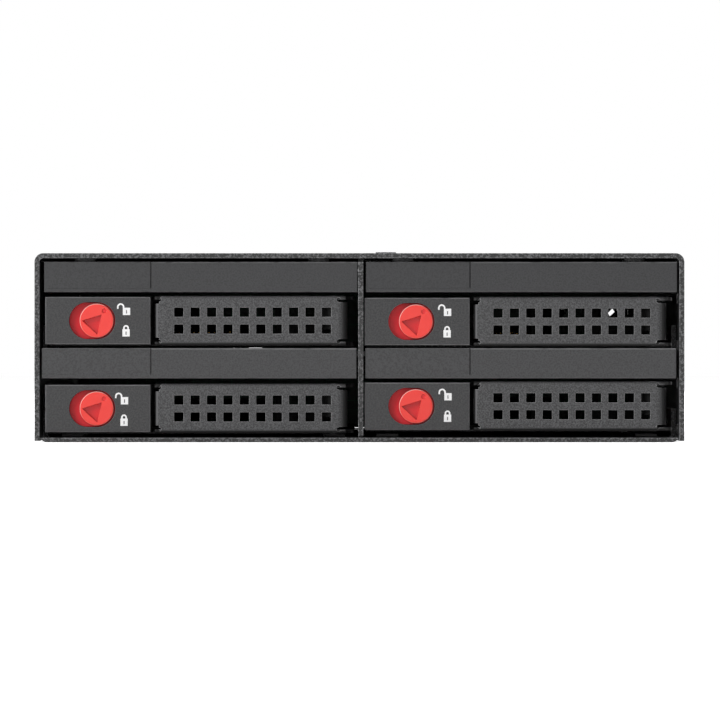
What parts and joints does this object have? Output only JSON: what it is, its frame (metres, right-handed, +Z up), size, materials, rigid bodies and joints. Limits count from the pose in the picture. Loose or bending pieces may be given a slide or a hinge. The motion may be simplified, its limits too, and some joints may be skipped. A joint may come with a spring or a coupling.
{
  "type": "hot swap drive cage",
  "caption": "Hot swap cage for 2.5 inch drives that fills a 5.25 inch bay, with sliding trays, perforated swing levers and red key locks.",
  "frame": {"origin": "middle of the cage's underside", "axes": "+Z up, -Y out of the front where the trays slide out, +X to the right seen from the front"},
  "size_m": [0.146, 0.15, 0.0428],
  "materials": {
    "black_steel": "fine textured black powder coat",
    "strip_plastic": "satin black moulding",
    "panel_plastic": "satin black moulding",
    "lever_steel": "satin black powder coat",
    "tray_steel": "black powder coat",
    "red_lock": "bright red",
    "red_slider": "red",
    "bright_steel": "bright steel",
    "bright_screw": "nickel plated",
    "black_screw": "black oxide",
    "glide_plastic": "slippery dark plastic",
    "circuit_board": "solder mask",
    "connector_plastic": "moulded",
    "header_plastic": "moulded, natural",
    "fan_plastic": "moulded"
  },
  "bodies": {
    "cage": {"top_cover": "black_steel", "bottom_plate": "black_steel", "center_divider": "black_steel", "shelf_left": "black_steel", "shelf_right": "black_steel", "strip_lower_left": "strip_plastic", "strip_lower_right": "strip_plastic", "strip_upper_left": "strip_plastic", "strip_upper_right": "strip_plastic", "glide_strips": "glide_plastic", "backplane": "circuit_board", "drive_connectors": "connector_plastic", "data_ports": "connector_plastic", "power_inlets": "connector_plastic", "fan_headers": "header_plastic", "rear_panel": "black_steel", "fan_frame_left": "fan_plastic", "fan_frame_right": "fan_plastic", "fan_screws": "black_screw", "case_screws": "black_screw", "board_screws": "bright_screw"},
    "left_rotor": {"fan_rotor_left": "fan_plastic"},
    "right_rotor": {"fan_rotor_right": "fan_plastic"},
    "lower_left_tray": {"lower_left_tray": "tray_steel", "lower_left_bezel": "panel_plastic", "lower_left_hinge_pin": "bright_steel", "lower_left_lever_spring": "bright_steel", "lower_left_slider_spring": "bright_steel", "lower_left_tray_screws": "bright_screw"},
    "lower_left_lever": {"lower_left_lever": "lever_steel"},
    "lower_left_slider": {"lower_left_release_slider": "red_slider"},
    "lower_left_lock": {"lower_left_lock_barrel": "red_lock"},
    "lower_right_tray": {"lower_right_tray": "tray_steel", "lower_right_bezel": "panel_plastic", "lower_right_hinge_pin": "bright_steel", "lower_right_lever_spring": "bright_steel", "lower_right_slider_spring": "bright_steel", "lower_right_tray_screws": "bright_screw"},
    "lower_right_lever": {"lower_right_lever": "lever_steel"},
    "lower_right_slider": {"lower_right_release_slider": "red_slider"},
    "lower_right_lock": {"lower_right_lock_barrel": "red_lock"},
    "upper_left_tray": {"upper_left_tray": "tray_steel", "upper_left_bezel": "panel_plastic", "upper_left_hinge_pin": "bright_steel", "upper_left_lever_spring": "bright_steel", "upper_left_slider_spring": "bright_steel", "upper_left_tray_screws": "bright_screw"},
    "upper_left_lever": {"upper_left_lever": "lever_steel"},
    "upper_left_slider": {"upper_left_release_slider": "red_slider"},
    "upper_left_lock": {"upper_left_lock_barrel": "red_lock"},
    "upper_right_tray": {"upper_right_tray": "tray_steel", "upper_right_bezel": "panel_plastic", "upper_right_hinge_pin": "bright_steel", "upper_right_lever_spring": "bright_steel", "upper_right_slider_spring": "bright_steel", "upper_right_tray_screws": "bright_screw"},
    "upper_right_lever": {"upper_right_lever": "lever_steel"},
    "upper_right_slider": {"upper_right_release_slider": "red_slider"},
    "upper_right_lock": {"upper_right_lock_barrel": "red_lock"}
  },
  "joints": [
    {"name": "left_fan_spin", "type": "hinge", "parent": "cage", "child": "left_rotor", "pos_m": [-0.0505, 0.069, 0.0212], "axis": [0, 1, 0], "continuous": true},
    {"name": "right_fan_spin", "type": "hinge", "parent": "cage", "child": "right_rotor", "pos_m": [0.0505, 0.069, 0.0212], "axis": [0, 1, 0], "continuous": true},
    {"name": "lower_left_tray_slide", "type": "slide", "parent": "cage", "child": "lower_left_tray", "axis": [0, -1, 0], "range_m": [0, 0.11]},
    {"name": "lower_left_lever_swing", "type": "hinge", "parent": "lower_left_tray", "child": "lower_left_lever", "pos_m": [-0.0057, -0.0715, 0.0076], "axis": [0, 0, 1], "range_deg": [0, 80]},
    {"name": "lower_left_release", "type": "slide", "parent": "lower_left_tray", "child": "lower_left_slider", "axis": [-1, 0, 0], "range_m": [0, 0.0021], "stiffness_N_per_m": 250, "springref_m": -0.003, "deforming": ["lower_left_slider_spring"]},
    {"name": "lower_left_lock_turn", "type": "hinge", "parent": "lower_left_slider", "child": "lower_left_lock", "pos_m": [-0.05905, -0.072, 0.0076], "axis": [0, 1, 0], "range_deg": [0, 90]},
    {"name": "lower_right_tray_slide", "type": "slide", "parent": "cage", "child": "lower_right_tray", "axis": [0, -1, 0], "range_m": [0, 0.11]},
    {"name": "lower_right_lever_swing", "type": "hinge", "parent": "lower_right_tray", "child": "lower_right_lever", "pos_m": [0.06605, -0.0715, 0.0081], "axis": [0, 0, 1], "range_deg": [0, 80]},
    {"name": "lower_right_release", "type": "slide", "parent": "lower_right_tray", "child": "lower_right_slider", "axis": [-1, 0, 0], "range_m": [0, 0.0021], "stiffness_N_per_m": 250, "springref_m": -0.003, "deforming": ["lower_right_slider_spring"]},
    {"name": "lower_right_lock_turn", "type": "hinge", "parent": "lower_right_slider", "child": "lower_right_lock", "pos_m": [0.0127, -0.072, 0.0081], "axis": [0, 1, 0], "range_deg": [0, 90]},
    {"name": "upper_left_tray_slide", "type": "slide", "parent": "cage", "child": "upper_left_tray", "axis": [0, -1, 0], "range_m": [0, 0.11]},
    {"name": "upper_left_lever_swing", "type": "hinge", "parent": "upper_left_tray", "child": "upper_left_lever", "pos_m": [-0.0057, -0.0715, 0.02735], "axis": [0, 0, 1], "range_deg": [0, 80]},
    {"name": "upper_left_release", "type": "slide", "parent": "upper_left_tray", "child": "upper_left_slider", "axis": [-1, 0, 0], "range_m": [0, 0.0021], "stiffness_N_per_m": 250, "springref_m": -0.003, "deforming": ["upper_left_slider_spring"]},
    {"name": "upper_left_lock_turn", "type": "hinge", "parent": "upper_left_slider", "child": "upper_left_lock", "pos_m": [-0.05905, -0.072, 0.02735], "axis": [0, 1, 0], "range_deg": [0, 90]},
    {"name": "upper_right_tray_slide", "type": "slide", "parent": "cage", "child": "upper_right_tray", "axis": [0, -1, 0], "range_m": [0, 0.11]},
    {"name": "upper_right_lever_swing", "type": "hinge", "parent": "upper_right_tray", "child": "upper_right_lever", "pos_m": [0.06605, -0.0715, 0.02715], "axis": [0, 0, 1], "range_deg": [0, 80]},
    {"name": "upper_right_release", "type": "slide", "parent": "upper_right_tray", "child": "upper_right_slider", "axis": [-1, 0, 0], "range_m": [0, 0.0021], "stiffness_N_per_m": 250, "springref_m": -0.003, "deforming": ["upper_right_slider_spring"]},
    {"name": "upper_right_lock_turn", "type": "hinge", "parent": "upper_right_slider", "child": "upper_right_lock", "pos_m": [0.0127, -0.072, 0.02715], "axis": [0, 1, 0], "range_deg": [0, 90]}
  ]
}
